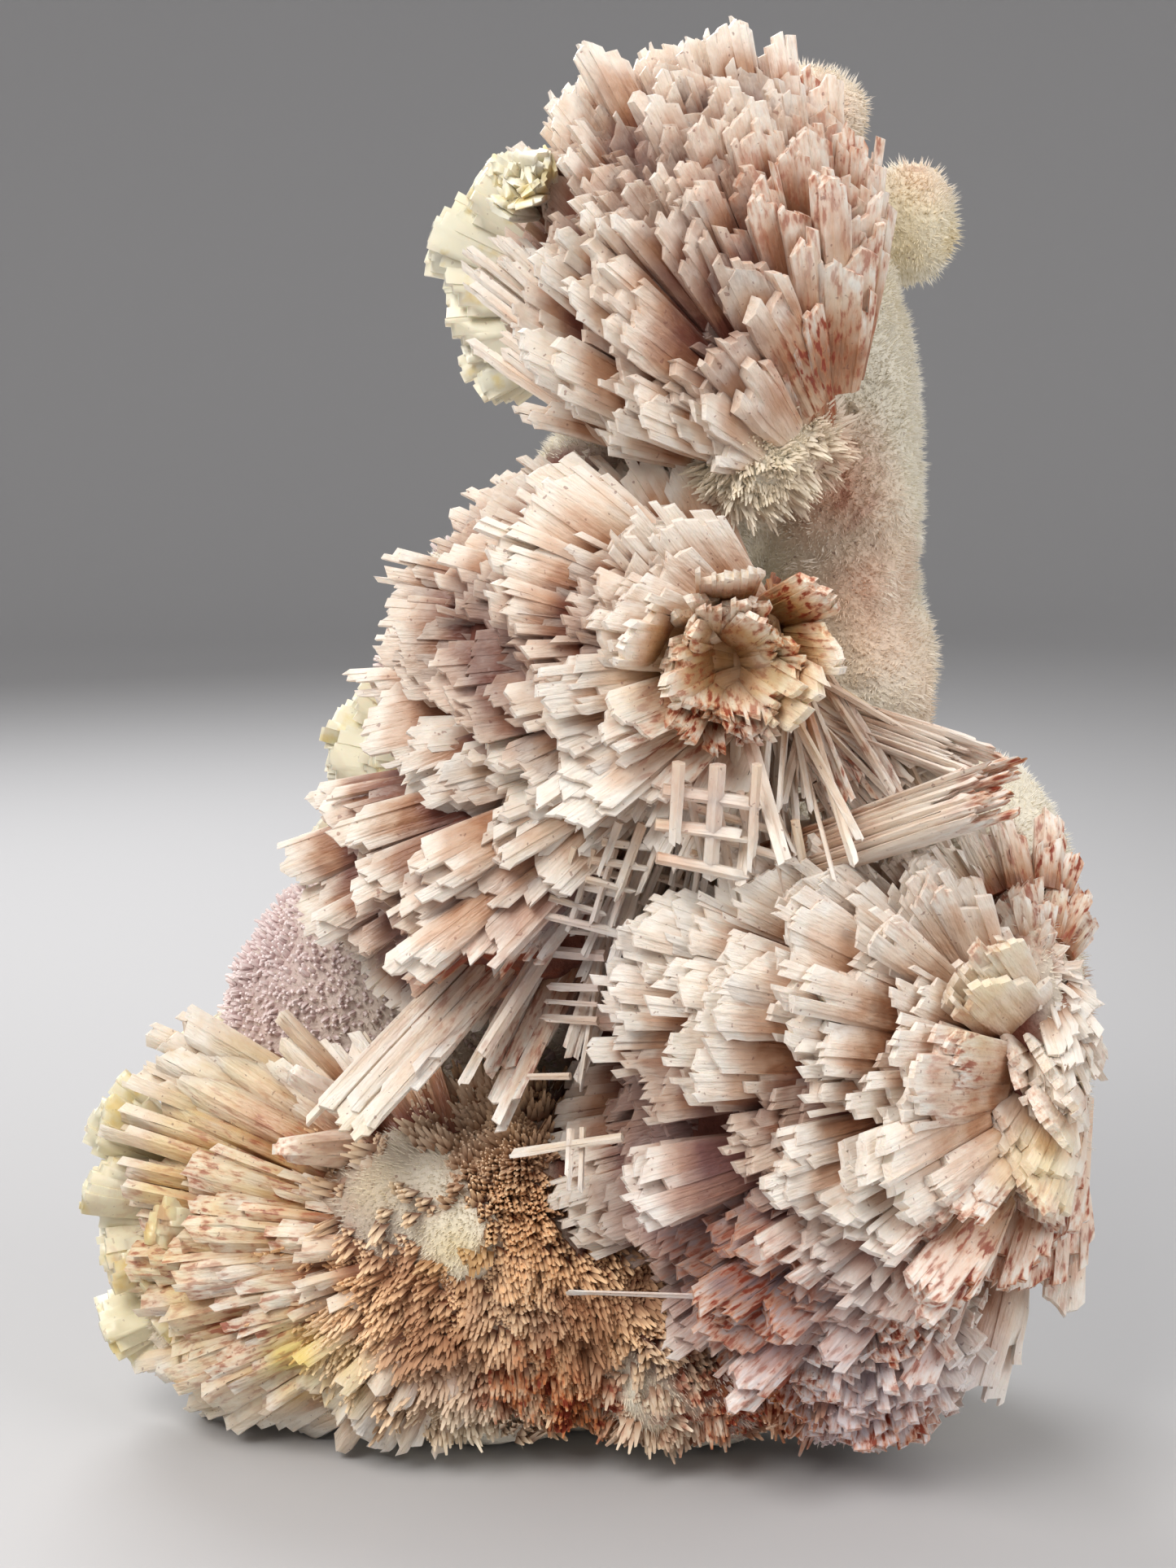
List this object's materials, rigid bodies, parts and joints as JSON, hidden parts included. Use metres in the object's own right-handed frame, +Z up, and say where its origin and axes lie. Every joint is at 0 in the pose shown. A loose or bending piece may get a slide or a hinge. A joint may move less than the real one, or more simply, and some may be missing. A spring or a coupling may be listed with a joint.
{
  "type": "mordenite with stilbite specimen",
  "caption": "Free-standing zeolite specimen: radiating sprays of cream and pink mordenite plates, white felted lumps and pale yellow stilbite tablets.",
  "frame": {"origin": "middle of the outline, on the surface that the specimen rests on", "axes": "+X to the right of the front view, +Y away from it, +Z up along the specimen's height"},
  "size_m": [0.1073, 0.0713, 0.1458],
  "materials": {
    "mordenite_plates": "milky, satin, pink to cream with rust stains",
    "mordenite_felt": "soft white felt of fine needles",
    "mordenite_velvet": "brown velvet of short needles with pale tips",
    "stilbite": "pearly, translucent pale yellow"
  },
  "bodies": {
    "root": {"mordenite_mass": "mordenite_plates", "stilbite_head": "stilbite", "stilbite_flank": "stilbite", "stilbite_slope": "stilbite", "stilbite_foot": "stilbite", "stilbite_hump": "stilbite"}
  },
  "joints": []
}
